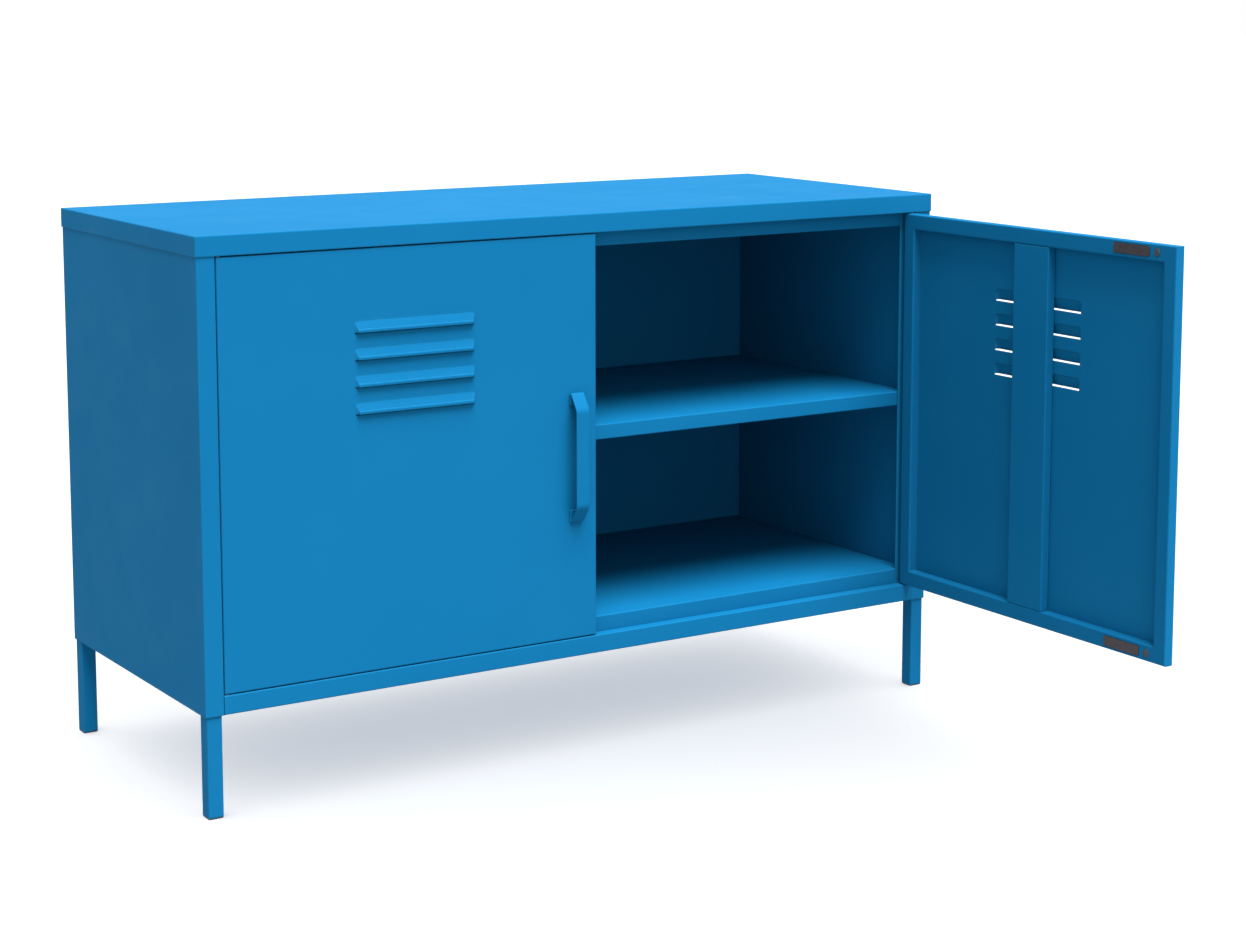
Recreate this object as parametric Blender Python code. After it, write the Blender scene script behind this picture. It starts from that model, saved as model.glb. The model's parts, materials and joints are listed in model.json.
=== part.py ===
"""Two-door steel sideboard in the style of a locker: a folded sheet-metal carcass on four
square-tube legs, one full-width shelf, and two louvred doors on pivot pins.

Units are metres, +Z is up and the front faces -Y. The floor is z = 0. Carcass pieces are
modelled with the front face at y = 0 and the width centred on x = 0, and hang under one empty
that moves them to the part's origin. Door pieces are modelled around the hinge axis of their
own door. The left door is shut and the right door stands open at a right angle.
"""

import math

import bmesh
import bpy
from mathutils import Vector

# ---------------------------------------------------------------- overall size
WIDTH = 1.000
DEPTH = 0.400
BODY_HEIGHT = 0.5253
LEG_HEIGHT = 0.1155

# ---------------------------------------------------------------- sheet metal
SHEET = 0.0008
GAP = 0.0003
HEM = 0.0105
BEND_RADIUS = 0.0004
BEND_STEPS = 4

# ---------------------------------------------------------------- carcass
CAP_OVERHANG = 0.0012
CAP_LIP = 0.0224
CAP_CORNER = 0.0016
STILE_WIDTH = 0.0219
STOP_DEPTH = 0.0138
STOP_WIDTH = 0.0151
BACK_FLANGE_WIDTH = 0.017
SIDE_FLANGE_WIDTH = 0.015
RAIL_HEIGHT = 0.0217
RAIL_FLANGE = 0.013
RAIL_TURNDOWN = 0.0085
HEADER_HEIGHT = 0.0229
HEADER_UPTURN = 0.0085
HEADER_STOP = 0.0174
HEADER_STOP_HEM = 0.006
FLOOR_HEIGHT = 0.0405
RISER_OVERLAP = 0.006
LINER_INSET = 0.0196
BACK_INSET = 0.0105
BACK_RETURN = 0.015
CORNER_RELIEF = 0.0003

# ---------------------------------------------------------------- shelf
SHELF_HEIGHT = 0.2718
SHELF_SETBACK = 0.0165
SHELF_EDGE = 0.018
BRACKET_SHEET = 0.0012
BRACKET_DROP = 0.0147
BRACKET_WIDTH = 0.0151
BRACKET_CLEARANCE = 0.0025

# ---------------------------------------------------------------- legs
LEG_SIZE = 0.018
LEG_WALL = 0.0012
LEG_CORNER = 0.0014
LEG_INSET = 0.0016
LEG_RISE = 0.038
LEG_PLATE_RISE = 0.032
LEG_PLATE_SHEET = 0.002
LEG_PLATE_LENGTH = 0.058
LEG_PLATE_FRONT = 0.0152
LEG_BOLT_INSET = 0.040
LEG_BOLT_RADIUS = 0.003
LEG_BOLT_HEAD = 0.005
LEG_BOLT_HEAD_HEIGHT = 0.004
WELD_NUT_RADIUS = 0.0058
WELD_NUT_HEIGHT = 0.0062
GLIDE_BASE = 0.0015
GLIDE_INSERT = 0.012
GLIDE_CHAMFER = 0.0005

# ---------------------------------------------------------------- doors
DOOR_THICKNESS = 0.0128
DOOR_GAP_SIDE = 0.0011
DOOR_GAP_MIDDLE = 0.0012
DOOR_GAP_TOP = 0.001
DOOR_GAP_BOTTOM = 0.001
DOOR_BEND_RADIUS = 0.0010
DOOR_FLANGE = 0.0194
PIVOT_FROM_EDGE = 0.0036
PIVOT_FROM_FACE = 0.0037
RIGHT_DOOR_OPENING = math.radians(90)

LOUVRE_COUNT = 4
LOUVRE_PITCH = 0.0304
LOUVRE_FIRST_HEIGHT = 0.2931
LOUVRE_HALF_WIDTH = 0.0757
LOUVRE_HEIGHT = 0.0156
LOUVRE_DEPTH = 0.0045
LOUVRE_LIP_RISE = 0.0013
LOUVRE_CREST = 0.0040
LOUVRE_HOLLOW_TIP = 0.0029
LOUVRE_CREST_DROP = 0.12
LOUVRE_END_TAPER = 0.003
LOUVRE_CORNER = 0.005
LOUVRE_CORNER_SHARE = 0.6
LOUVRE_LIP_CORNER = 0.0016
LOUVRE_ROUNDING = 0.0012

STIFFENER_HALF_WIDTH = 0.0303
STIFFENER_FOOT = 0.0103

# ---------------------------------------------------------------- door hardware
HANDLE_WIDTH = 0.0175
HANDLE_SHEET = 0.002
HANDLE_STANDOFF = 0.017
HANDLE_FROM_FREE_EDGE = 0.02835
HANDLE_CENTRE = 0.2173
HANDLE_HALF_GRIP = 0.058
HANDLE_HALF_LENGTH = 0.0822
HANDLE_TAB = 0.020
HANDLE_GRIP_RADIUS = 0.014
HANDLE_FOOT_RADIUS = 0.0025
HANDLE_BEND_STEPS = 6
HANDLE_SCREW_SPREAD = 0.067
HANDLE_SCREW_RADIUS = 0.0019
HANDLE_SCREW_HEAD = 0.0032
HANDLE_SCREW_HEAD_HEIGHT = 0.0016

CATCH_FROM_RAIL_EDGE = 0.0094
CATCH_PROUD = 0.0007
MAGNET_LENGTH = 0.0572
MAGNET_HEIGHT = 0.0116
MAGNET_CORNER = 0.0015
MAGNET_DEPTH = 0.0045
MAGNET_LIP = 0.0016
MAGNET_LIP_SHEET = 0.001
MAGNET_FROM_FREE_EDGE = 0.0703
BUMPER_RADIUS = 0.0047
BUMPER_COLLAR_RADIUS = 0.0060
BUMPER_COLLAR = 0.0015
BUMPER_CHAMFER = 0.0004
BUMPER_FROM_FREE_EDGE = 0.0301

PIN_RADIUS = 0.0015
PIN_HEAD_RADIUS = 0.0022
PIN_HEAD_HEIGHT = 0.0015
PIN_REACH = 0.0074
PIN_TIP_CHAMFER = 0.0004
BUSH_BORE = 0.0018
BUSH_RADIUS = 0.0025
BUSH_COLLAR_RADIUS = 0.0030
BUSH_COLLAR = 0.0004
BUSH_FLOOR = 0.0015

BACK_SCREW_HEIGHTS = (0.130, 0.430)
BACK_SCREW_RADIUS = 0.0017
BACK_SCREW_HEAD = 0.0035
BACK_SCREW_HEAD_HEIGHT = 0.0017
BACK_SCREW_LENGTH = 0.0065

STRAIGHT = 0.001
ROUND_SEGMENTS = 20
SMALL_ROUND_SEGMENTS = 16
CORNER_STEPS = 4

# ---------------------------------------------------------------- derived levels
HALF_WIDTH = WIDTH / 2
HALF_STOP = HALF_WIDTH - STILE_WIDTH - STOP_WIDTH
BODY_BOTTOM = LEG_HEIGHT
CAP_TOP = LEG_HEIGHT + BODY_HEIGHT
CARCASS_TOP = CAP_TOP - SHEET - GAP
LEDGE_TOP = BODY_BOTTOM + RAIL_HEIGHT
FLOOR_TOP = BODY_BOTTOM + FLOOR_HEIGHT
HEADER_LEDGE = CAP_TOP - HEADER_HEIGHT
SHELF_TOP = BODY_BOTTOM + SHELF_HEIGHT
BACK_FACE = DEPTH - BACK_INSET
INNER_TOP = CARCASS_TOP - SHEET - SHEET - GAP
RAIL_HALF = HALF_WIDTH - STILE_WIDTH - GAP

DOOR_WIDTH = HALF_WIDTH - STILE_WIDTH - DOOR_GAP_SIDE - DOOR_GAP_MIDDLE / 2
DOOR_BOTTOM = LEDGE_TOP + DOOR_GAP_BOTTOM
DOOR_TOP = HEADER_LEDGE - DOOR_GAP_TOP
DOOR_HEIGHT = DOOR_TOP - DOOR_BOTTOM
PIVOT_X = HALF_WIDTH - STILE_WIDTH - DOOR_GAP_SIDE - PIVOT_FROM_EDGE
PIVOT_Y = PIVOT_FROM_FACE

# The origin is on the floor, in the middle of the outline with the right door open.
OPEN_DOOR_REACH = DOOR_WIDTH - PIVOT_FROM_EDGE - PIVOT_Y
REAR_REACH = DEPTH + GAP + BACK_SCREW_HEAD_HEIGHT
FRONT_Y = (OPEN_DOOR_REACH - REAR_REACH) / 2

SIDES = {"left": -1, "right": 1}


# ---------------------------------------------------------------- mesh helpers
def clear_scene():
    """Remove every object that is already in the file."""
    for obj in list(bpy.data.objects):
        bpy.data.objects.remove(obj, do_unlink=True)


def material(name, colour, roughness, metallic=0.0):
    """A Principled BSDF material with a plain colour."""
    mat = bpy.data.materials.new(name)
    mat.use_nodes = True
    shader = mat.node_tree.nodes["Principled BSDF"]
    shader.inputs["Base Color"].default_value = (*colour, 1.0)
    shader.inputs["Roughness"].default_value = roughness
    shader.inputs["Metallic"].default_value = metallic
    mat.diffuse_color = (*colour, 1.0)
    return mat


def make_object(name, bm, mat=None):
    """Close a bmesh into a linked object whose faces point outwards."""
    bmesh.ops.recalc_face_normals(bm, faces=bm.faces)
    mesh = bpy.data.meshes.new(name)
    bm.to_mesh(mesh)
    bm.free()
    obj = bpy.data.objects.new(name, mesh)
    bpy.context.scene.collection.objects.link(obj)
    if mat:
        mesh.materials.append(mat)
    return obj


def shade_round(obj, angle=math.radians(30)):
    """Smooth shading that keeps the edges sharper than the angle."""
    obj.data.shade_smooth()
    obj.data.set_sharp_from_angle(angle=angle)


def combine(target, operation, tools):
    """Apply one Boolean per tool to the target, and delete the tools."""
    for tool in tools:
        modifier = target.modifiers.new("cut", "BOOLEAN")
        modifier.operation = operation
        modifier.solver = "EXACT"
        modifier.object = tool
        depsgraph = bpy.context.evaluated_depsgraph_get()
        result = bpy.data.meshes.new_from_object(target.evaluated_get(depsgraph))
        target.modifiers.clear()
        target.data = result
        bpy.data.objects.remove(tool, do_unlink=True)


def along_x(y, z, x):
    """Place a point of a profile in the YZ plane at distance x."""
    return Vector((x, y, z))


def offset_path(path, distance):
    """Offset a polyline to its left, with mitred corners."""
    points = [Vector(p) for p in path]
    headings = [(b - a).normalized() for a, b in zip(points, points[1:])]
    result = []
    for i, point in enumerate(points):
        before = headings[max(i - 1, 0)]
        after = headings[min(i, len(headings) - 1)]
        normal_a = Vector((-before.y, before.x))
        normal_b = Vector((-after.y, after.x))
        result.append(point + (normal_a + normal_b) * distance / (1 + normal_a.dot(normal_b)))
    return result


def bent_outline(path, thickness, inner_radius=BEND_RADIUS):
    """Round each corner of a folded outline, as sheet of this thickness bends.

    The sheet lies to the left of the path (to the right if the thickness is negative). Returns
    the rounded points and, for each of them, the number of the corner that it came from.
    """
    points = [Vector(p) for p in path]
    result = [points[0]]
    sources = [0]
    for number in range(1, len(points) - 1):
        corner = points[number]
        ahead = (points[number + 1] - corner).normalized()
        behind = (points[number - 1] - corner).normalized()
        turn = behind.cross(ahead)
        if abs(turn) < STRAIGHT:
            arc = [corner]
        else:
            towards_sheet = turn * thickness < 0
            radius = inner_radius + (abs(thickness) if towards_sheet else 0)
            arc = corner_arc(corner, behind, ahead, radius, BEND_STEPS)
        result += arc
        sources += [number] * len(arc)
    result.append(points[-1])
    sources.append(len(points) - 1)
    return result, sources


def corner_arc(corner, behind, ahead, radius, steps):
    """Points of the arc that rounds a corner between its two directions."""
    half = behind.angle(ahead) / 2
    reach = radius / math.tan(half)
    centre = corner + (behind + ahead).normalized() * radius / math.sin(half)
    start = corner + behind * reach - centre
    sweep = start.angle_signed(corner + ahead * reach - centre)
    arc = []
    for i in range(steps + 1):
        angle = -sweep * i / steps
        across = start.x * math.cos(angle) - start.y * math.sin(angle)
        along = start.x * math.sin(angle) + start.y * math.cos(angle)
        arc.append(centre + Vector((across, along)))
    return arc


def folded_sheet(path, thickness, spans, place):
    """A bent strip of sheet: an outline with rounded bends, drawn out between spans.

    spans is one (low, high) pair, or one pair for each point of the path.
    """
    outline, sources = bent_outline(path, thickness)
    if not isinstance(spans, list):
        spans = [spans] * len(path)
    return drawn_strip(outline, thickness, [spans[i] for i in sources], place)


def drawn_strip(outline, thickness, spans, place):
    """Thicken an outline to its left and draw each of its points out between its own span."""
    bm = bmesh.new()
    ribs = []
    for outer, inner, (low, high) in zip(outline, offset_path(outline, thickness), spans):
        corners = ((outer, low), (outer, high), (inner, high), (inner, low))
        ribs.append([bm.verts.new(place(p[0], p[1], s)) for p, s in corners])
    for a, b in zip(ribs, ribs[1:]):
        for i in range(4):
            j = (i + 1) % 4
            bm.faces.new((a[i], a[j], b[j], b[i]))
    bm.faces.new(ribs[0])
    bm.faces.new(reversed(ribs[-1]))
    return bm


def tray_sections(path, thickness, inner_radius=BEND_RADIUS):
    """Points round the section of a tray's edge, along one skin and back along the other."""
    outline, _ = bent_outline(path, thickness, inner_radius)
    return outline + list(reversed(offset_path(outline, thickness)))


def ring_loft(rings):
    """Join rings of equally many points into one closed skin, capped at both ends."""
    bm = bmesh.new()
    loops = [[bm.verts.new(p) for p in ring] for ring in rings]
    count = len(loops[0])
    for a, b in zip(loops, loops[1:]):
        for i in range(count):
            j = (i + 1) % count
            bm.faces.new((a[i], a[j], b[j], b[i]))
    bm.faces.new(loops[0])
    bm.faces.new(reversed(loops[-1]))
    return bm


def closed_ring_loft(rings):
    """Join rings end to end, as in a tube with a wall."""
    bm = bmesh.new()
    loops = [[bm.verts.new(p) for p in ring] for ring in rings]
    count = len(loops[0])
    for a, b in zip(loops, loops[1:] + loops[:1]):
        for i in range(count):
            j = (i + 1) % count
            bm.faces.new((a[i], a[j], b[j], b[i]))
    return bm


def box(low, high):
    """A box between two corners."""
    ring = [(low[0], low[1]), (high[0], low[1]), (high[0], high[1]), (low[0], high[1])]
    return ring_loft([[Vector((x, y, z)) for x, y in ring] for z in (low[2], high[2])])


def turned(profile, centre, axis="Z", segments=ROUND_SEGMENTS, phase=0.0):
    """A turned piece: (radius, height) pairs spun about an axis, with flat ends."""
    rings = []
    for radius, height in profile:
        ring = []
        for i in range(segments):
            angle = phase + 2 * math.pi * i / segments
            u = radius * math.cos(angle)
            v = radius * math.sin(angle)
            if axis == "Z":
                ring.append(Vector((centre[0] + u, centre[1] + v, height)))
            else:
                ring.append(Vector((centre[0] + u, height, centre[1] + v)))
        rings.append(ring)
    return ring_loft(rings)


def rod(radius, low, high, centre, axis="Z", segments=SMALL_ROUND_SEGMENTS):
    """A plain round bar, used for shafts and for drilled holes."""
    return turned([(radius, low), (radius, high)], centre, axis, segments)


def rounded_outline(low, high, radii, steps=CORNER_STEPS):
    """A rectangle whose corners, from the lower left anticlockwise, have their own radii."""
    corners = [
        (low[0], low[1], 1, 1, math.pi),
        (high[0], low[1], -1, 1, 1.5 * math.pi),
        (high[0], high[1], -1, -1, 0.0),
        (low[0], high[1], 1, -1, 0.5 * math.pi),
    ]
    points = []
    for (x, y, sx, sy, start), radius in zip(corners, radii):
        if radius == 0:
            points.append((x, y))
            continue
        for i in range(steps + 1):
            angle = start + 0.5 * math.pi * i / steps
            px = x + sx * radius + radius * math.cos(angle)
            py = y + sy * radius + radius * math.sin(angle)
            points.append((px, py))
    return points


def filleted_path(path, radii, steps):
    """Round the inner corners of a polyline; radii has one value for each inner corner."""
    points = [Vector(p) for p in path]
    result = [points[0]]
    for before, corner, after, radius in zip(points, points[1:], points[2:], radii):
        behind = (before - corner).normalized()
        ahead = (after - corner).normalized()
        result += corner_arc(corner, behind, ahead, radius, steps)
    result.append(points[-1])
    return result


# ---------------------------------------------------------------- carcass pieces
def top_panel(paint):
    """Pressed cap: a flat top with a turned-down lip on all four sides."""
    x_out = HALF_WIDTH + CAP_OVERHANG
    y_front = -CAP_OVERHANG
    y_back = DEPTH + CAP_OVERHANG
    skin_edge = BEND_RADIUS + SHEET + GAP
    edge = [(skin_edge, CAP_TOP), (0, CAP_TOP), (0, CAP_TOP - CAP_LIP)]
    rings = []
    for inset, z in tray_sections(edge, SHEET):
        low = (inset - x_out, y_front + inset)
        high = (x_out - inset, y_back - inset)
        outline = rounded_outline(low, high, [CAP_CORNER - inset] * 4)
        rings.append([Vector((x, y, z)) for x, y in outline])
    cap = make_object("top_panel", ring_loft(rings), paint)
    shade_round(cap)
    return cap


def side_panel(name, side, paint):
    """Folded side sheet: back flange, side, front stile, return and door-stop strip."""
    outline = [
        (BACK_FLANGE_WIDTH, DEPTH),
        (0, DEPTH),
        (0, 0),
        (STILE_WIDTH, 0),
        (STILE_WIDTH, STOP_DEPTH),
        (STILE_WIDTH + STOP_WIDTH, STOP_DEPTH),
    ]

    def place(inset, y, z):
        return Vector((side * (HALF_WIDTH - inset), y, z))

    panel = make_object(
        name, folded_sheet(outline, SHEET, (BODY_BOTTOM, CARCASS_TOP), place), paint
    )
    outer = side * (HALF_WIDTH - SHEET / 2)
    inner = side * (HALF_WIDTH - SIDE_FLANGE_WIDTH)
    overlap = SHEET / 8
    low_x, high_x = sorted((outer, inner))
    leg_room = LEG_INSET + LEG_SIZE + HEM / 2
    flanges = [
        box(
            (low_x, SHEET / 2, CARCASS_TOP - overlap - SHEET),
            (high_x, DEPTH - SHEET / 2, CARCASS_TOP - overlap),
        ),
        box(
            (low_x, leg_room, BODY_BOTTOM + overlap),
            (high_x, DEPTH - leg_room, BODY_BOTTOM + overlap + SHEET),
        ),
    ]
    combine(panel, "UNION", [make_object("flange", flange) for flange in flanges])
    holes = []
    for height in BACK_SCREW_HEIGHTS:
        centre = (side * (HALF_WIDTH - BACK_FLANGE_WIDTH / 2), BODY_BOTTOM + height)
        bore = rod(BACK_SCREW_RADIUS + GAP, DEPTH - 3 * SHEET, DEPTH + SHEET, centre, "Y")
        holes.append(make_object("hole", bore))
    combine(panel, "DIFFERENCE", holes)
    shade_round(panel)
    return panel


def side_liner(name, side, paint):
    """Inner wall: a flange behind the stop strip, the wall, and a flange on the back panel."""
    face = LINER_INSET - SHEET
    front = STOP_DEPTH + SHEET + GAP
    rear = BACK_FACE - GAP - SHEET
    outline = [
        (SHEET + GAP, rear),
        (face, rear),
        (face, front),
        (STILE_WIDTH + STOP_WIDTH - GAP, front),
    ]

    def place(inset, y, z):
        return Vector((side * (HALF_WIDTH - inset), y, z))

    liner = make_object(
        name, folded_sheet(outline, SHEET, (FLOOR_TOP + GAP, INNER_TOP), place), paint
    )
    shade_round(liner)
    return liner


def back_panel(paint):
    """Shallow pan, open to the rear, with edges turned back and then inwards."""
    x_out = HALF_WIDTH - SHEET - GAP
    low = FLOOR_TOP + GAP
    high = INNER_TOP
    rear = DEPTH - SHEET - GAP
    skin_edge = BEND_RADIUS + SHEET + GAP
    edge = [(skin_edge, BACK_FACE), (0, BACK_FACE), (0, rear), (BACK_RETURN, rear)]
    rings = []
    for inset, y in tray_sections(edge, -SHEET):
        x = x_out - inset
        bottom = low + inset
        top = high - inset
        rings.append([Vector(p) for p in ((-x, y, bottom), (x, y, bottom), (x, y, top), (-x, y, top))])
    panel = make_object("back_panel", ring_loft(rings), paint)
    holes = []
    for side in SIDES.values():
        for height in BACK_SCREW_HEIGHTS:
            centre = (side * (HALF_WIDTH - BACK_FLANGE_WIDTH / 2), BODY_BOTTOM + height)
            bore = rod(BACK_SCREW_RADIUS + GAP, rear - 2 * SHEET, rear + SHEET, centre, "Y")
            holes.append(make_object("hole", bore))
    combine(panel, "DIFFERENCE", holes)
    shade_round(panel)
    return panel


def floor_panel(paint):
    """Cabinet floor: front riser, deck and rear flange, with four weld nuts underneath."""
    narrow = (-(HALF_STOP - GAP), HALF_STOP - GAP)
    wide_half = HALF_WIDTH - SHEET - GAP
    wide = (-wide_half, wide_half)
    rear_half = HALF_WIDTH - LEG_INSET - LEG_SIZE - GAP
    rear = (-rear_half, rear_half)
    rear_y = DEPTH - SHEET - GAP
    behind_stop = STOP_DEPTH + SHEET + GAP
    outline = [
        (rear_y - RAIL_FLANGE, BODY_BOTTOM + GAP),
        (rear_y, BODY_BOTTOM + GAP),
        (rear_y, FLOOR_TOP),
        (rear_y - 2 * SHEET, FLOOR_TOP),
        (rear_y - 4 * SHEET, FLOOR_TOP),
        (behind_stop + 2 * CORNER_RELIEF, FLOOR_TOP),
        (behind_stop + CORNER_RELIEF, FLOOR_TOP),
        (STOP_DEPTH, FLOOR_TOP),
        (STOP_DEPTH, LEDGE_TOP - RISER_OVERLAP),
    ]
    spans = [rear, rear, rear, rear, wide, wide, narrow, narrow, narrow]
    panel = make_object("floor_panel", folded_sheet(outline, SHEET, spans, along_x), paint)
    nut_low = FLOOR_TOP - SHEET - WELD_NUT_HEIGHT
    nuts = []
    bores = []
    for centre in leg_bolt_centres().values():
        hexagon = turned(
            [(WELD_NUT_RADIUS, nut_low), (WELD_NUT_RADIUS, FLOOR_TOP - SHEET / 2)],
            centre,
            segments=6,
        )
        nuts.append(make_object("nut", hexagon))
        bore = rod(LEG_BOLT_RADIUS + GAP, nut_low - SHEET, FLOOR_TOP - SHEET - GAP, centre)
        bores.append(make_object("bore", bore))
    combine(panel, "UNION", nuts)
    combine(panel, "DIFFERENCE", bores)
    shade_round(panel)
    return panel


def front_rail(paint):
    """Bottom front rail: under flange, face, ledge below the doors and a turned-down edge."""
    rear = STOP_DEPTH - GAP
    outline = [
        (rear, LEDGE_TOP - RAIL_TURNDOWN),
        (rear, LEDGE_TOP),
        (0, LEDGE_TOP),
        (0, BODY_BOTTOM),
        (RAIL_FLANGE, BODY_BOTTOM),
    ]
    rail = make_object(
        "front_rail", folded_sheet(outline, SHEET, (-RAIL_HALF, RAIL_HALF), along_x), paint
    )
    combine(rail, "DIFFERENCE", bush_holes(LEDGE_TOP - 2 * SHEET, LEDGE_TOP + SHEET))
    shade_round(rail)
    return rail


def header_rail(paint):
    """Rail above the doors: top flange, face behind the cap's lip, ledge and upturned edge."""
    rear = STOP_DEPTH - GAP
    outline = [
        (RAIL_FLANGE, CARCASS_TOP),
        (0, CARCASS_TOP),
        (0, HEADER_LEDGE),
        (rear, HEADER_LEDGE),
        (rear, HEADER_LEDGE + HEADER_UPTURN),
    ]
    rail = make_object(
        "header_rail", folded_sheet(outline, SHEET, (-RAIL_HALF, RAIL_HALF), along_x), paint
    )
    combine(rail, "DIFFERENCE", bush_holes(HEADER_LEDGE - SHEET, HEADER_LEDGE + 2 * SHEET))
    shade_round(rail)
    return rail


def door_stop_upper(paint):
    """Strip on the back of the header rail's upturn, with a hem along its lower edge."""
    half = HALF_STOP - GAP
    low = HEADER_LEDGE - HEADER_STOP
    outline = [
        (STOP_DEPTH, HEADER_LEDGE + HEADER_UPTURN),
        (STOP_DEPTH, low),
        (STOP_DEPTH + HEADER_STOP_HEM, low),
    ]
    strip = make_object("door_stop_upper", folded_sheet(outline, SHEET, (-half, half), along_x), paint)
    shade_round(strip)
    return strip


def bush_holes(low, high):
    """Cutters for the two bush holes of a ledge, at the hinge axes."""
    holes = []
    for side in SIDES.values():
        centre = (side * PIVOT_X, PIVOT_Y)
        holes.append(make_object("hole", rod(BUSH_RADIUS + GAP, low, high, centre)))
    return holes


def shelf(paint):
    """Full-width shelf with a boxed edge at the front and the back."""
    half = HALF_WIDTH - LINER_INSET - GAP
    front = SHELF_SETBACK
    rear = BACK_FACE - GAP
    edge = SHELF_TOP - SHELF_EDGE
    outline = [
        (rear - HEM, edge),
        (rear, edge),
        (rear, SHELF_TOP),
        (front, SHELF_TOP),
        (front, edge),
        (front + HEM, edge),
    ]
    deck = make_object("shelf", folded_sheet(outline, SHEET, (-half, half), along_x), paint)
    shade_round(deck)
    return deck


def shelf_bracket(name, side, paint):
    """Angle on the liner, under the deck of the shelf and between its boxed edges."""
    wall = LINER_INSET + GAP
    top = SHELF_TOP - SHEET - GAP
    front = SHELF_SETBACK + HEM + BRACKET_CLEARANCE
    rear = BACK_FACE - HEM - BRACKET_CLEARANCE
    outline = [(wall, top - BRACKET_DROP), (wall, top), (wall + BRACKET_WIDTH, top)]

    def place(inset, z, y):
        return Vector((side * (HALF_WIDTH - inset), y, z))

    bracket = make_object(name, folded_sheet(outline, -BRACKET_SHEET, (front, rear), place), paint)
    shade_round(bracket)
    return bracket


# ---------------------------------------------------------------- legs
def leg_centres():
    """Centre of each leg's square section."""
    half = HALF_WIDTH - LEG_INSET - LEG_SIZE / 2
    front = LEG_INSET + LEG_SIZE / 2
    rows = {"front": front, "rear": DEPTH - front}
    return {f"{row}_{side}": (sign * half, y) for row, y in rows.items() for side, sign in SIDES.items()}


def leg_bolt_centres():
    """Axis of each leg's bolt."""
    half = HALF_WIDTH - LEG_BOLT_INSET
    rows = {"front": LEG_BOLT_INSET, "rear": DEPTH - LEG_BOLT_INSET}
    return {f"{row}_{side}": (sign * half, y) for row, y in rows.items() for side, sign in SIDES.items()}


def square_ring(centre, half, z, corner=LEG_CORNER):
    """A level square with rounded corners."""
    low = (centre[0] - half, centre[1] - half)
    high = (centre[0] + half, centre[1] + half)
    return [Vector((x, y, z)) for x, y in rounded_outline(low, high, [corner] * 4)]


def leg(corner, paint):
    """Square tube with a welded mounting plate near its top."""
    x, y = leg_centres()[corner]
    low = GLIDE_BASE + GAP
    high = BODY_BOTTOM + LEG_RISE
    half = LEG_SIZE / 2
    bore = half - LEG_WALL
    bore_corner = LEG_CORNER - LEG_WALL
    rings = [
        square_ring((x, y), half, low),
        square_ring((x, y), half, high),
        square_ring((x, y), bore, high, bore_corner),
        square_ring((x, y), bore, low, bore_corner),
    ]
    tube = make_object(f"leg_{corner}", closed_ring_loft(rings), paint)
    side = math.copysign(1, x)
    inner_x = side * (HALF_WIDTH - LEG_INSET - LEG_PLATE_LENGTH)
    outer_x = x + side * (half - LEG_WALL / 2)
    front_y, rear_y = sorted((plate_edge(y), plate_edge(y, LEG_PLATE_LENGTH)))
    top = BODY_BOTTOM + LEG_PLATE_RISE
    plate = make_object(
        "plate",
        box((min(inner_x, outer_x), front_y, top - LEG_PLATE_SHEET), (max(inner_x, outer_x), rear_y, top)),
    )
    bolt_hole = rod(
        LEG_BOLT_RADIUS + GAP,
        top - 2 * LEG_PLATE_SHEET,
        top + LEG_PLATE_SHEET,
        leg_bolt_centres()[corner],
    )
    combine(tube, "UNION", [plate])
    combine(tube, "DIFFERENCE", [make_object("hole", bolt_hole)])
    shade_round(tube)
    return tube


def plate_edge(leg_y, reach=0.0):
    """Edge of a mounting plate, measured from the nearer of the front and the back."""
    distance = LEG_PLATE_FRONT + reach
    return distance if leg_y < DEPTH / 2 else DEPTH - distance


def foot_glide(corner, plastic):
    """Plastic plug: a chamfered pad under the tube and a square stem inside it."""
    centre = leg_centres()[corner]
    pad = LEG_SIZE / 2 - GAP
    stem = LEG_SIZE / 2 - LEG_WALL - GAP
    rings = (
        (pad - GLIDE_CHAMFER, 0.0),
        (pad, GLIDE_CHAMFER),
        (pad, GLIDE_BASE),
        (stem, GLIDE_BASE),
        (stem, GLIDE_BASE + GLIDE_INSERT),
    )
    bm = ring_loft([square_ring(centre, *ring) for ring in rings])
    glide = make_object(f"foot_glide_{corner}", bm, plastic)
    shade_round(glide)
    return glide


def leg_bolt(corner, steel):
    """Hexagon bolt, its head under the mounting plate and its end in the weld nut."""
    centre = leg_bolt_centres()[corner]
    seat = BODY_BOTTOM + LEG_PLATE_RISE - LEG_PLATE_SHEET - GAP
    tip = FLOOR_TOP - SHEET - 2 * GAP
    bolt = make_object(
        f"leg_bolt_{corner}",
        rod(LEG_BOLT_RADIUS, seat - LEG_BOLT_HEAD_HEIGHT / 2, tip - GAP, centre),
        steel,
    )
    head = turned(
        [(LEG_BOLT_HEAD, seat - LEG_BOLT_HEAD_HEIGHT), (LEG_BOLT_HEAD, seat)], centre, segments=6
    )
    combine(bolt, "UNION", [make_object("head", head)])
    shade_round(bolt)
    return bolt


def back_screw(name, side, height, steel):
    """Pan-head screw through the side flange into the back panel."""
    centre = (side * (HALF_WIDTH - BACK_FLANGE_WIDTH / 2), BODY_BOTTOM + height)
    seat = DEPTH + GAP
    profile = [
        (BACK_SCREW_RADIUS, seat - BACK_SCREW_LENGTH),
        (BACK_SCREW_RADIUS, seat),
        (BACK_SCREW_HEAD, seat),
        (BACK_SCREW_HEAD, seat + BACK_SCREW_HEAD_HEIGHT / 2),
        (BACK_SCREW_HEAD * 0.7, seat + BACK_SCREW_HEAD_HEIGHT),
    ]
    screw = make_object(name, turned(profile, centre, "Y", SMALL_ROUND_SEGMENTS), steel)
    shade_round(screw)
    return screw


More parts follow.
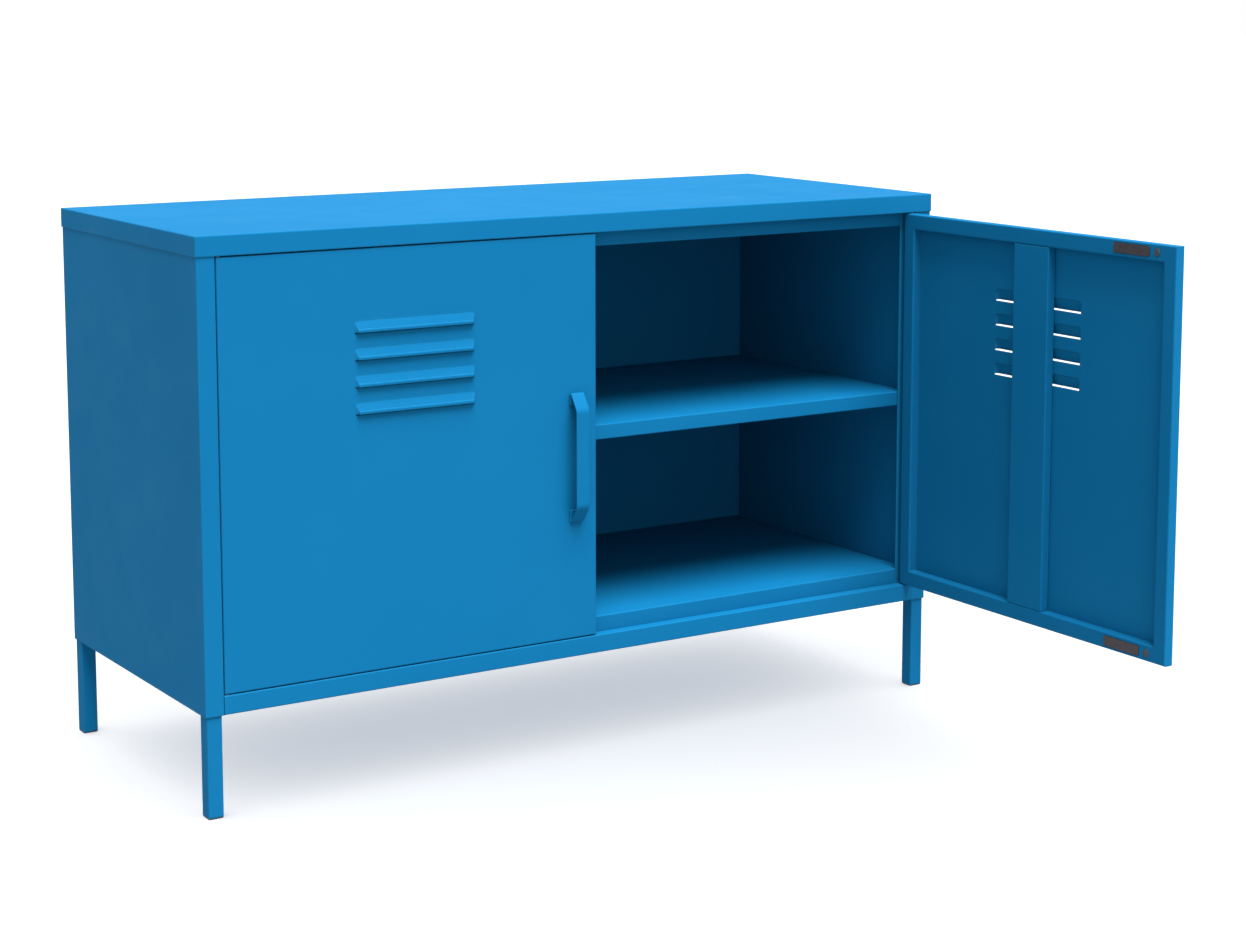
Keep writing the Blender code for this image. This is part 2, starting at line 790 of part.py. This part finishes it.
def hinge_bush(name, side, ledge, up, nylon):
    """Cup bush in a ledge; up is the direction from the ledge towards the door."""
    mouth = ledge + up * (GAP + BUSH_COLLAR)
    bottom = ledge - up * (PIN_REACH + BUSH_FLOOR)
    profile = [
        (BUSH_RADIUS, bottom),
        (BUSH_RADIUS, ledge + up * GAP),
        (BUSH_COLLAR_RADIUS, ledge + up * GAP),
        (BUSH_COLLAR_RADIUS, mouth),
        (BUSH_BORE, mouth),
        (BUSH_BORE, bottom + up * BUSH_FLOOR),
    ]
    bush = make_object(name, turned(profile, (side * PIVOT_X, PIVOT_Y)), nylon)
    shade_round(bush)
    return bush


# ---------------------------------------------------------------- door pieces
def door_point(side, across, up, depth):
    """A point of a door, about its hinge axis.

    across runs from the hinge edge to the free edge, up from the door's lower edge, and depth
    from its outer face inwards.
    """
    return Vector((side * (PIVOT_FROM_EDGE - across), depth - PIVOT_FROM_FACE, DOOR_BOTTOM + up))


def door_ring(side, outline, depth):
    """A ring of (across, up) points at one depth."""
    return [door_point(side, across, up, depth) for across, up in outline]


def door_pan_sections():
    """Inset and depth of each bend of the pan, from the outer face round to the inner face."""
    face_edge = DOOR_BEND_RADIUS + SHEET + GAP
    edge = [
        (face_edge, 0),
        (0, 0),
        (0, DOOR_THICKNESS),
        (DOOR_FLANGE, DOOR_THICKNESS),
        (DOOR_FLANGE, SHEET + GAP),
    ]
    return tray_sections(edge, -SHEET, DOOR_BEND_RADIUS)


def louvre_outline(half, low, high, corner):
    """A strip centred on the door, with rounded upper corners."""
    centre = DOOR_WIDTH / 2
    return rounded_outline((centre - half, low), (centre + half, high), (0, 0, corner, corner))


def louvre_hood(side, base):
    """Outer shape of one pressed louvre: a hipped hood that leans out to a rounded lower lip."""
    lip = base + LOUVRE_LIP_RISE
    rings = [door_ring(side, hood_outline(lip, 0.0), SHEET / 2)]
    for depth, drop in hood_profile():
        rings.append(door_ring(side, hood_outline(lip, drop), -depth))
    return ring_loft(rings)


def hood_profile():
    """Depth of the hood and the drop of its upper edge, as shares run from the skin to the lip."""
    slope_end = 1 - LOUVRE_ROUNDING / LOUVRE_DEPTH
    profile = [(LOUVRE_DEPTH * slope_end * share, share) for share in (0.0, 0.5, 1.0)]
    for i in range(1, CORNER_STEPS + 1):
        angle = 0.5 * math.pi * i / CORNER_STEPS
        depth = LOUVRE_DEPTH - LOUVRE_ROUNDING * (1 - math.sin(angle))
        profile.append((depth, 1 + LOUVRE_CREST_DROP * (1 - math.cos(angle))))
    return profile


def hood_outline(lip, drop):
    """Outline of the hood; drop runs from 0 at the skin to 1 at the start of the crest."""
    rise = LOUVRE_HEIGHT - LOUVRE_LIP_RISE
    height = rise + (LOUVRE_CREST - rise) * drop
    half = LOUVRE_HALF_WIDTH - LOUVRE_END_TAPER * drop
    corner = LOUVRE_CORNER + (LOUVRE_LIP_CORNER - LOUVRE_CORNER) * min(drop, 1.0)
    return louvre_outline(half, lip, lip + height, min(corner, height * LOUVRE_CORNER_SHARE))


def louvre_hollow(side, base):
    """Space inside one louvre, from behind the skin to the open underside of the hood."""
    mouth = louvre_outline(
        LOUVRE_HALF_WIDTH - SHEET, base, base + LOUVRE_HEIGHT - SHEET, LOUVRE_CORNER - SHEET
    )
    tip_half = LOUVRE_HALF_WIDTH - LOUVRE_END_TAPER - SHEET
    tip = louvre_outline(tip_half, base, base + LOUVRE_HOLLOW_TIP, LOUVRE_LIP_CORNER)
    return ring_loft([
        door_ring(side, mouth, 2 * SHEET),
        door_ring(side, mouth, 0),
        door_ring(side, tip, SHEET - LOUVRE_DEPTH),
    ])


def catch_heights():
    """Height of the lower and the upper row of magnets and bumpers above the door's edge."""
    return {"lower": CATCH_FROM_RAIL_EDGE, "upper": DOOR_HEIGHT - CATCH_FROM_RAIL_EDGE}


def magnet_outline(grow, height):
    """Outline of a magnet in the door's flange, grown all round."""
    centre = DOOR_WIDTH - MAGNET_FROM_FREE_EDGE
    half_length = MAGNET_LENGTH / 2 + grow
    half_height = MAGNET_HEIGHT / 2 + grow
    low = (centre - half_length, height - half_height)
    high = (centre + half_length, height + half_height)
    return rounded_outline(low, high, [MAGNET_CORNER + grow] * 4)


def door_round(side, across, up, profile, segments=ROUND_SEGMENTS):
    """A turned piece whose axis runs through the door; profile has (radius, depth) pairs."""
    centre = door_point(side, across, up, 0)
    spun = [(radius, depth - PIVOT_FROM_FACE) for radius, depth in profile]
    return turned(spun, (centre.x, centre.z), "Y", segments)


def door(name, side, paint):
    """Door pan with its flanges, louvres and the openings for the hardware."""
    rings = []
    for inset, depth in door_pan_sections():
        low = (inset, inset)
        high = (DOOR_WIDTH - inset, DOOR_HEIGHT - inset)
        outline = [low, (high[0], low[1]), high, (low[0], high[1])]
        rings.append(door_ring(side, outline, depth))
    pan = make_object(name, ring_loft(rings), paint)
    bases = [LOUVRE_FIRST_HEIGHT + i * LOUVRE_PITCH for i in range(LOUVRE_COUNT)]
    combine(pan, "UNION", [make_object("hood", louvre_hood(side, base)) for base in bases])
    cutters = [louvre_hollow(side, base) for base in bases]
    through = 2 * SHEET
    for height in catch_heights().values():
        outline = magnet_outline(GAP, height)
        depths = (DOOR_THICKNESS - through, DOOR_THICKNESS + SHEET)
        cutters.append(ring_loft([door_ring(side, outline, depth) for depth in depths]))
        profile = [(BUMPER_RADIUS + GAP, depth) for depth in depths]
        cutters.append(door_round(side, DOOR_WIDTH - BUMPER_FROM_FREE_EDGE, height, profile))
    for offset in (-HANDLE_SCREW_SPREAD, HANDLE_SCREW_SPREAD):
        profile = [(HANDLE_SCREW_RADIUS + GAP, -SHEET), (HANDLE_SCREW_RADIUS + GAP, through)]
        across = DOOR_WIDTH - HANDLE_FROM_FREE_EDGE
        cutters.append(door_round(side, across, HANDLE_CENTRE + offset, profile, SMALL_ROUND_SEGMENTS))
    pin_hole = PIN_RADIUS + GAP
    cutters.append(rod(pin_hole, DOOR_BOTTOM - SHEET, DOOR_BOTTOM + through, (0, 0)))
    cutters.append(rod(pin_hole, DOOR_TOP - through, DOOR_TOP + SHEET, (0, 0)))
    combine(pan, "DIFFERENCE", [make_object("cutter", cutter) for cutter in cutters])
    shade_round(pan)
    return pan


def door_stiffener(name, side, paint):
    """Vertical channel up the middle of the door, level with the flanges."""
    foot = SHEET + GAP
    half = STIFFENER_HALF_WIDTH
    outline = [
        (half - STIFFENER_FOOT, foot),
        (half, foot),
        (half, DOOR_THICKNESS),
        (-half, DOOR_THICKNESS),
        (-half, foot),
        (STIFFENER_FOOT - half, foot),
    ]
    low = DOOR_FLANGE + GAP
    high = DOOR_HEIGHT - DOOR_FLANGE - GAP

    def place(from_centre, depth, up):
        return door_point(side, DOOR_WIDTH / 2 + from_centre, up, depth)

    channel = make_object(name, folded_sheet(outline, SHEET, (low, high), place), paint)
    shade_round(channel)
    return channel


def handle(name, side, paint):
    """Flat strap bent out of the door plane, with a tab behind each end for its screw."""
    tab = -GAP
    grip = -HANDLE_STANDOFF
    grip_end = HANDLE_HALF_GRIP
    foot = HANDLE_HALF_LENGTH
    corners = [
        (tab, foot - HANDLE_TAB),
        (tab, foot),
        (grip, grip_end),
        (grip, -grip_end),
        (tab, -foot),
        (tab, HANDLE_TAB - foot),
    ]
    radii = [HANDLE_FOOT_RADIUS, HANDLE_GRIP_RADIUS, HANDLE_GRIP_RADIUS, HANDLE_FOOT_RADIUS]
    outline = filleted_path(corners, radii, HANDLE_BEND_STEPS)
    centre = DOOR_WIDTH - HANDLE_FROM_FREE_EDGE
    span = (centre - HANDLE_WIDTH / 2, centre + HANDLE_WIDTH / 2)

    def place(depth, up, across):
        return door_point(side, across, HANDLE_CENTRE + up, depth)

    strap = make_object(
        name, drawn_strip(outline, HANDLE_SHEET, [span] * len(outline), place), paint
    )
    holes = []
    for offset in (-HANDLE_SCREW_SPREAD, HANDLE_SCREW_SPREAD):
        profile = [(HANDLE_SCREW_RADIUS + GAP, -2 * HANDLE_SHEET), (HANDLE_SCREW_RADIUS + GAP, 0)]
        bore = door_round(side, centre, HANDLE_CENTRE + offset, profile, SMALL_ROUND_SEGMENTS)
        holes.append(make_object("hole", bore))
    combine(strap, "DIFFERENCE", holes)
    shade_round(strap)
    return strap


def handle_screw(name, side, offset, paint):
    """Painted screw from inside the door, through its skin into the handle's tab."""
    seat = SHEET + GAP
    profile = [
        (HANDLE_SCREW_RADIUS, -(GAP + HANDLE_SHEET)),
        (HANDLE_SCREW_RADIUS, seat),
        (HANDLE_SCREW_HEAD, seat),
        (HANDLE_SCREW_HEAD, seat + HANDLE_SCREW_HEAD_HEIGHT / 2),
        (HANDLE_SCREW_HEAD * 0.7, seat + HANDLE_SCREW_HEAD_HEIGHT),
    ]
    across = DOOR_WIDTH - HANDLE_FROM_FREE_EDGE
    bm = door_round(side, across, HANDLE_CENTRE + offset, profile, SMALL_ROUND_SEGMENTS)
    screw = make_object(name, bm, paint)
    shade_round(screw)
    return screw


def magnet(name, side, height, ferrite):
    """Catch block set in the flange, held by a lip behind it."""
    lip_face = DOOR_THICKNESS - SHEET - GAP
    face = DOOR_THICKNESS + CATCH_PROUD
    sections = (
        (0, face - MAGNET_DEPTH),
        (0, lip_face - MAGNET_LIP_SHEET),
        (MAGNET_LIP, lip_face - MAGNET_LIP_SHEET),
        (MAGNET_LIP, lip_face),
        (0, lip_face),
        (0, face),
    )
    rings = [door_ring(side, magnet_outline(grow, height), depth) for grow, depth in sections]
    return make_object(name, ring_loft(rings), ferrite)


def bumper(name, side, height, rubber):
    """Round buffer with a collar behind the flange."""
    collar_face = DOOR_THICKNESS - SHEET - GAP
    face = DOOR_THICKNESS + CATCH_PROUD
    profile = [
        (BUMPER_COLLAR_RADIUS, collar_face - BUMPER_COLLAR),
        (BUMPER_COLLAR_RADIUS, collar_face),
        (BUMPER_RADIUS, collar_face),
        (BUMPER_RADIUS, face - BUMPER_CHAMFER),
        (BUMPER_RADIUS - BUMPER_CHAMFER, face),
    ]
    bm = door_round(side, DOOR_WIDTH - BUMPER_FROM_FREE_EDGE, height, profile)
    buffer = make_object(name, bm, rubber)
    shade_round(buffer)
    return buffer


def hinge_pin(name, edge, up, steel):
    """Headed pivot pin; up points from the door's edge into the door."""
    head = edge + up * (SHEET + GAP)
    tip = edge - up * (DOOR_GAP_BOTTOM + PIN_REACH - GAP)
    profile = [
        (PIN_RADIUS - PIN_TIP_CHAMFER, tip),
        (PIN_RADIUS, tip + up * PIN_TIP_CHAMFER),
        (PIN_RADIUS, head),
        (PIN_HEAD_RADIUS, head),
        (PIN_HEAD_RADIUS, head + up * PIN_HEAD_HEIGHT),
    ]
    pin = make_object(name, turned(profile, (0, 0)), steel)
    shade_round(pin)
    return pin


# ---------------------------------------------------------------- assembly
def empty(name, location, parent=None):
    """An empty that carries other objects."""
    obj = bpy.data.objects.new(name, None)
    obj.location = location
    obj.parent = parent
    bpy.context.scene.collection.objects.link(obj)
    return obj


def build_carcass(materials):
    """Every piece that does not move."""
    paint = materials["paint"]
    pieces = [
        top_panel(paint),
        back_panel(paint),
        floor_panel(paint),
        front_rail(paint),
        header_rail(paint),
        door_stop_upper(paint),
        shelf(paint),
    ]
    for label, side in SIDES.items():
        pieces.append(side_panel(f"side_panel_{label}", side, paint))
        pieces.append(side_liner(f"side_liner_{label}", side, paint))
        pieces.append(shelf_bracket(f"shelf_bracket_{label}", side, paint))
        pieces.append(hinge_bush(f"hinge_bush_lower_{label}", side, LEDGE_TOP, 1, materials["nylon"]))
        pieces.append(hinge_bush(f"hinge_bush_upper_{label}", side, HEADER_LEDGE, -1, materials["nylon"]))
        for row, height in zip(("lower", "upper"), BACK_SCREW_HEIGHTS):
            pieces.append(back_screw(f"back_screw_{row}_{label}", side, height, materials["steel"]))
    for corner in leg_centres():
        pieces.append(leg(corner, paint))
        pieces.append(foot_glide(corner, materials["plastic"]))
        pieces.append(leg_bolt(corner, materials["steel"]))
    return pieces


def build_door(label, side, materials):
    """Every piece that turns with one door, modelled about the hinge axis with the door shut."""
    paint = materials["paint"]
    pieces = [
        door(f"door_{label}", side, paint),
        door_stiffener(f"door_stiffener_{label}", side, paint),
        handle(f"handle_{label}", side, paint),
        hinge_pin(f"hinge_pin_lower_{label}", DOOR_BOTTOM, 1, materials["steel"]),
        hinge_pin(f"hinge_pin_upper_{label}", DOOR_TOP, -1, materials["steel"]),
    ]
    for row, offset in (("lower", -HANDLE_SCREW_SPREAD), ("upper", HANDLE_SCREW_SPREAD)):
        pieces.append(handle_screw(f"handle_screw_{row}_{label}", side, offset, paint))
    for row, height in catch_heights().items():
        pieces.append(magnet(f"magnet_{row}_{label}", side, height, materials["ferrite"]))
        pieces.append(bumper(f"bumper_{row}_{label}", side, height, materials["rubber"]))
    return pieces


def main():
    clear_scene()
    materials = {
        "paint": material("blue_powder_coat", (0.010, 0.220, 0.470), 0.42),
        "steel": material("zinc_plated_steel", (0.60, 0.60, 0.62), 0.35, 1.0),
        "ferrite": material("brown_magnet", (0.045, 0.030, 0.032), 0.55),
        "rubber": material("dark_rubber", (0.015, 0.030, 0.045), 0.60),
        "plastic": material("black_plastic", (0.020, 0.022, 0.026), 0.50),
        "nylon": material("dark_nylon", (0.030, 0.060, 0.090), 0.50),
    }
    carcass = empty("carcass_origin", (0, FRONT_Y, 0))
    for piece in build_carcass(materials):
        piece.parent = carcass
    openings = {"left": 0.0, "right": RIGHT_DOOR_OPENING}
    for label, side in SIDES.items():
        axis = empty(f"hinge_axis_{label}", (side * PIVOT_X, PIVOT_Y, 0), carcass)
        axis.rotation_euler.z = side * openings[label]
        for piece in build_door(label, side, materials):
            piece.parent = axis


main()
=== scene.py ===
"""Looks for the steel locker sideboard: powder-coat paint, hardware finishes, floor, light and
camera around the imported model. Units are metres; the front faces -Y and the floor is z = 0."""

import json
import math

import bpy
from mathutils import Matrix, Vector

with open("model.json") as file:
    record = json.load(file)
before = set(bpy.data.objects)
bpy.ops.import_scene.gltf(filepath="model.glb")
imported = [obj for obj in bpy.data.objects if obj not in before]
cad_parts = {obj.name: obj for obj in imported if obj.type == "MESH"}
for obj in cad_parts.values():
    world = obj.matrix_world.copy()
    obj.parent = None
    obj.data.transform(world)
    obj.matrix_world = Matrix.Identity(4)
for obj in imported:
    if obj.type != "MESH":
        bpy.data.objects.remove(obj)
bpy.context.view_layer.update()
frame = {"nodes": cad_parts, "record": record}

# ---------------------------------------------------------------- camera
CAMERA_PLACE = (-1.5409, -2.43285, 0.9081)
CAMERA_HEADING = math.radians(32.605)
CAMERA_TILT = math.radians(7.647)
CAMERA_LENS = 72.506
CAMERA_SENSOR = 36.0
CAMERA_SHIFT = -0.12

# ---------------------------------------------------------------- light and floor
WORLD_COLOUR = (1.0, 1.0, 1.0)
FLOOR_COLOUR = (0.90, 0.90, 0.90)
FLOOR_GLOW = 0.42
FLOOR_SIZE = 60.0
KEY_FROM = (0.0, -0.78, 2.0)
KEY_STRENGTH = 10.4
KEY_SOFTNESS = math.radians(40)
FILL_FROM = (0.0, -2.0, 0.55)
FILL_STRENGTH = 0.7
FILL_SOFTNESS = math.radians(60)

# ---------------------------------------------------------------- finishes
PAINT = (0.0018, 0.085, 0.197)
PAINT_DRIFT = (0.0026, 0.091, 0.206)
# Paler colour on sharp edges: a painted highlight along the rims, plus thinner paint on the edges
PAINT_EDGE_HIGHLIGHT_AND_WEAR = (0.014, 0.180, 0.360)
EDGE_HIGHLIGHT_AND_WEAR_WIDTH = 0.0018
EDGE_HIGHLIGHT_AND_WEAR_AMOUNT = 0.75
PAINT_SPECULAR = 0.032
PAINT_ROUGHNESS = (0.64, 0.76)

# Pattern scales are in cycles per metre
DRIFT_SCALE = 5.0
EDGE_HIGHLIGHT_AND_WEAR_SCALE = 60.0
EDGE_HIGHLIGHT_AND_WEAR_LEAST = 0.4
GLOSS_SCALE = 14.0
PEEL_SCALE = 900.0
PEEL_DEPTH = 0.00002
PEEL_STRENGTH = 0.6

# Cosine between the rounded and the true normal: where an edge takes the full painted highlight and
# wear, and where it counts as flat
SHARP_TURN = 0.75
FLAT_TURN = 0.995

# Each hardware finish: material name, dark colour, light colour, roughness, metallic
HARDWARE = {
    "zinc_plated_steel": ("zinc_plate", (0.42, 0.42, 0.44), (0.66, 0.66, 0.67), 0.34, 1.0),
    "brown_magnet": ("brown_magnet_block", (0.018, 0.012, 0.014), (0.032, 0.024, 0.028), 0.5, 0.0),
    "dark_rubber": ("dark_rubber_buffer", (0.010, 0.022, 0.034), (0.020, 0.038, 0.056), 0.6, 0.0),
    "black_plastic": ("black_plastic_glide", (0.015, 0.016, 0.019), (0.030, 0.032, 0.036), 0.5, 0.0),
    "dark_nylon": ("dark_nylon_bush", (0.022, 0.045, 0.070), (0.040, 0.075, 0.110), 0.5, 0.0),
}
HARDWARE_GRAIN = 250.0
HARDWARE_RELIEF = 0.00002

# How far a hardware finish wanders either side of its roughness
ROUGHER = 0.08
SMOOTHER = 0.06

# ---------------------------------------------------------------- shading of bends
BEND_ANGLE = math.radians(32)
PRESSED_ANGLE = math.radians(13)
WELD_DISTANCE = 0.00001
HANDLE_BEVEL = 0.0009
PRESSED_NODES = ("door_left", "door_right")
HANDLE_NODES = ("handle_left", "handle_right")


def node_tree(name):
    """A new material with a Principled BSDF; returns the material, its tree and the shader."""
    mat = bpy.data.materials.new(name)
    mat.use_nodes = True
    tree = mat.node_tree
    return mat, tree, tree.nodes["Principled BSDF"]


def noise(tree, scale, detail=3.0, roughness=0.55):
    """A noise pattern fixed to the piece; scale is in cycles per metre."""
    place = tree.nodes.new("ShaderNodeTexCoord")
    pattern = tree.nodes.new("ShaderNodeTexNoise")
    pattern.inputs["Scale"].default_value = scale
    pattern.inputs["Detail"].default_value = detail
    pattern.inputs["Roughness"].default_value = roughness
    tree.links.new(place.outputs["Object"], pattern.inputs["Vector"])
    return pattern.outputs["Fac"]


def spread(tree, factor, low, high, start=0.3, end=0.7):
    """Map a pattern onto the values between low and high."""
    ramp = tree.nodes.new("ShaderNodeMapRange")
    ramp.inputs["From Min"].default_value = start
    ramp.inputs["From Max"].default_value = end
    ramp.inputs["To Min"].default_value = low
    ramp.inputs["To Max"].default_value = high
    tree.links.new(factor, ramp.inputs["Value"])
    return ramp.outputs["Result"]


def mix_colour(tree, factor, a, b):
    """A colour between a and b."""
    mixer = tree.nodes.new("ShaderNodeMix")
    mixer.data_type = "RGBA"
    mixer.inputs["A"].default_value = (*a, 1.0)
    mixer.inputs["B"].default_value = (*b, 1.0)
    tree.links.new(factor, mixer.inputs["Factor"])
    return mixer.outputs["Result"]


def bump(tree, shader, height, distance, strength=1.0):
    """Fine relief on the shader's normal, distance in metres; returns the bump node."""
    relief = tree.nodes.new("ShaderNodeBump")
    relief.inputs["Distance"].default_value = distance
    relief.inputs["Strength"].default_value = strength
    tree.links.new(height, relief.inputs["Height"])
    tree.links.new(relief.outputs["Normal"], shader.inputs["Normal"])
    return relief


def edge_mask(tree, width):
    """1 on sharp edges and 0 on flat faces, with the rounded normal it is measured from."""
    rounded = tree.nodes.new("ShaderNodeBevel")
    rounded.samples = 4
    rounded.inputs["Radius"].default_value = width
    surface = tree.nodes.new("ShaderNodeNewGeometry")
    turn = tree.nodes.new("ShaderNodeVectorMath")
    turn.operation = "DOT_PRODUCT"
    tree.links.new(rounded.outputs["Normal"], turn.inputs[0])
    tree.links.new(surface.outputs["Normal"], turn.inputs[1])
    mask = spread(tree, turn.outputs["Value"], 1.0, 0.0, SHARP_TURN, FLAT_TURN)
    return mask, rounded.outputs["Normal"]


def powder_coat():
    """Satin blue powder coat: colour drift, thin paler edges (a painted highlight along the rims
    plus thinner paint on edges), uneven sheen, orange peel.
    """
    mat, tree, shader = node_tree("blue_powder_coat_satin")
    drift = spread(tree, noise(tree, DRIFT_SCALE, 4.0), 0.0, 1.0)
    colour = mix_colour(tree, drift, PAINT, PAINT_DRIFT)
    edge, normal = edge_mask(tree, EDGE_HIGHLIGHT_AND_WEAR_WIDTH)
    patchy = spread(tree, noise(tree, EDGE_HIGHLIGHT_AND_WEAR_SCALE, 4.0), EDGE_HIGHLIGHT_AND_WEAR_LEAST * EDGE_HIGHLIGHT_AND_WEAR_AMOUNT, EDGE_HIGHLIGHT_AND_WEAR_AMOUNT)
    # Paler sharp edges: painted highlight on the rims, together with thin paint at the edges
    highlight_and_wear = tree.nodes.new("ShaderNodeMath")
    highlight_and_wear.operation = "MULTIPLY"
    tree.links.new(edge, highlight_and_wear.inputs[0])
    tree.links.new(patchy, highlight_and_wear.inputs[1])
    paler = tree.nodes.new("ShaderNodeMix")
    paler.data_type = "RGBA"
    paler.inputs["B"].default_value = (*PAINT_EDGE_HIGHLIGHT_AND_WEAR, 1.0)
    tree.links.new(highlight_and_wear.outputs["Value"], paler.inputs["Factor"])
    tree.links.new(colour, paler.inputs["A"])
    tree.links.new(paler.outputs["Result"], shader.inputs["Base Color"])
    gloss = spread(tree, noise(tree, GLOSS_SCALE, 5.0, 0.65), *PAINT_ROUGHNESS)
    tree.links.new(gloss, shader.inputs["Roughness"])
    shader.inputs["Specular IOR Level"].default_value = PAINT_SPECULAR
    relief = bump(tree, shader, noise(tree, PEEL_SCALE, 2.0), PEEL_DEPTH, PEEL_STRENGTH)
    tree.links.new(normal, relief.inputs["Normal"])
    return mat


def plain_finish(name, dark, light, roughness, metallic):
    """A moulded or plated finish: mottled colour, uneven gloss and fine grain."""
    mat, tree, shader = node_tree(name)
    mottle = spread(tree, noise(tree, HARDWARE_GRAIN, 4.0), 0.0, 1.0)
    tree.links.new(mix_colour(tree, mottle, dark, light), shader.inputs["Base Color"])
    patches = noise(tree, HARDWARE_GRAIN / 3, 4.0)
    gloss = spread(tree, patches, roughness - SMOOTHER, roughness + ROUGHER)
    tree.links.new(gloss, shader.inputs["Roughness"])
    shader.inputs["Metallic"].default_value = metallic
    bump(tree, shader, noise(tree, HARDWARE_GRAIN * 4, 2.0), HARDWARE_RELIEF)
    return mat


def smooth_bends(limit):
    """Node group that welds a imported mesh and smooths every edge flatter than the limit."""
    group = bpy.data.node_groups.new("smooth_bends", "GeometryNodeTree")
    group.interface.new_socket("Geometry", in_out="INPUT", socket_type="NodeSocketGeometry")
    group.interface.new_socket("Geometry", in_out="OUTPUT", socket_type="NodeSocketGeometry")
    source = group.nodes.new("NodeGroupInput")
    weld = group.nodes.new("GeometryNodeMergeByDistance")
    weld.inputs["Distance"].default_value = WELD_DISTANCE
    forget = group.nodes.new("GeometryNodeRemoveAttribute")
    forget.inputs["Name"].default_value = "custom_normal"
    soften = group.nodes.new("GeometryNodeSetShadeSmooth")
    angle = group.nodes.new("GeometryNodeInputMeshEdgeAngle")
    steep = group.nodes.new("FunctionNodeCompare")
    steep.operation = "GREATER_THAN"
    steep.inputs["B"].default_value = limit
    crease = group.nodes.new("GeometryNodeSetShadeSmooth")
    crease.domain = "EDGE"
    crease.inputs["Shade Smooth"].default_value = False
    result = group.nodes.new("NodeGroupOutput")
    group.links.new(source.outputs["Geometry"], weld.inputs["Geometry"])
    group.links.new(weld.outputs["Geometry"], forget.inputs["Geometry"])
    group.links.new(forget.outputs["Geometry"], soften.inputs["Geometry"])
    group.links.new(soften.outputs["Geometry"], crease.inputs["Geometry"])
    group.links.new(angle.outputs["Unsigned Angle"], steep.inputs["A"])
    group.links.new(steep.outputs["Result"], crease.inputs["Selection"])
    group.links.new(crease.outputs["Geometry"], result.inputs["Geometry"])
    return group


def dress_nodes():
    """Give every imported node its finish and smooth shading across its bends."""
    finishes = {"blue_powder_coat": powder_coat()}
    for slot, finish in HARDWARE.items():
        finishes[slot] = plain_finish(*finish)
    slots = {row["node"]: row["material_slot"] for row in frame["record"]["subparts"]}
    folded = smooth_bends(BEND_ANGLE)
    pressed = smooth_bends(PRESSED_ANGLE)
    for name, node in frame["nodes"].items():
        node.material_slots[0].material = finishes[slots[name]]
        soften = node.modifiers.new("smooth_bends", "NODES")
        soften.node_group = pressed if name in PRESSED_NODES else folded
        if name in HANDLE_NODES:
            round_off = node.modifiers.new("rounded_edges", "BEVEL")
            round_off.width = HANDLE_BEVEL
            round_off.segments = 3
            round_off.limit_method = "ANGLE"
            round_off.angle_limit = BEND_ANGLE
        weights = node.modifiers.new("flat_faces", "WEIGHTED_NORMAL")
        weights.keep_sharp = True


def make_floor():
    """A wide pale floor that glows slightly, so that it reads as near white."""
    half = FLOOR_SIZE / 2
    mesh = bpy.data.meshes.new("floor")
    corners = [(-half, -half, 0), (half, -half, 0), (half, half, 0), (-half, half, 0)]
    mesh.from_pydata(corners, [], [(0, 1, 2, 3)])
    floor = bpy.data.objects.new("floor", mesh)
    bpy.context.scene.collection.objects.link(floor)
    mat, tree, shader = node_tree("pale_floor")
    shader.inputs["Base Color"].default_value = (*FLOOR_COLOUR, 1.0)
    shader.inputs["Roughness"].default_value = 0.9
    shader.inputs["Specular IOR Level"].default_value = 0.0
    shader.inputs["Emission Color"].default_value = (1.0, 1.0, 1.0, 1.0)
    shader.inputs["Emission Strength"].default_value = FLOOR_GLOW
    mesh.materials.append(mat)
    return floor


def soft_light(name, source, strength, softness, floor):
    """A broad soft light that is linked to skip the floor, so that the floor stays even."""
    lamp = bpy.data.lights.new(name, "SUN")
    lamp.energy = strength
    lamp.angle = softness
    light = bpy.data.objects.new(name, lamp)
    light.location = source
    light.rotation_euler = Vector(source).to_track_quat("Z", "Y").to_euler()
    bpy.context.scene.collection.objects.link(light)
    lit = bpy.data.collections.new(f"{name}_light_linking")
    lit.objects.link(floor)
    lit.collection_objects[0].light_linking.link_state = "EXCLUDE"
    light.light_linking.receiver_collection = lit


def make_world():
    """An even pale surround."""
    world = bpy.data.worlds.new("studio")
    bpy.context.scene.world = world
    world.use_nodes = True
    world.node_tree.nodes["Background"].inputs["Color"].default_value = (*WORLD_COLOUR, 1.0)
    world.node_tree.nodes["Background"].inputs["Strength"].default_value = 1.0


def make_camera():
    """The camera, slightly above the cabinet and to its left."""
    data = bpy.data.cameras.new("camera")
    data.lens = CAMERA_LENS
    data.sensor_width = CAMERA_SENSOR
    data.sensor_fit = "HORIZONTAL"
    data.shift_y = CAMERA_SHIFT
    camera = bpy.data.objects.new("camera", data)
    camera.location = CAMERA_PLACE
    camera.rotation_euler = (math.pi / 2 - CAMERA_TILT, 0, -CAMERA_HEADING)
    bpy.context.scene.collection.objects.link(camera)
    bpy.context.scene.camera = camera


bpy.context.scene.view_settings.view_transform = "Standard"
make_camera()
make_world()
ground = make_floor()
soft_light("key", KEY_FROM, KEY_STRENGTH, KEY_SOFTNESS, ground)
soft_light("fill", FILL_FROM, FILL_STRENGTH, FILL_SOFTNESS, ground)
dress_nodes()
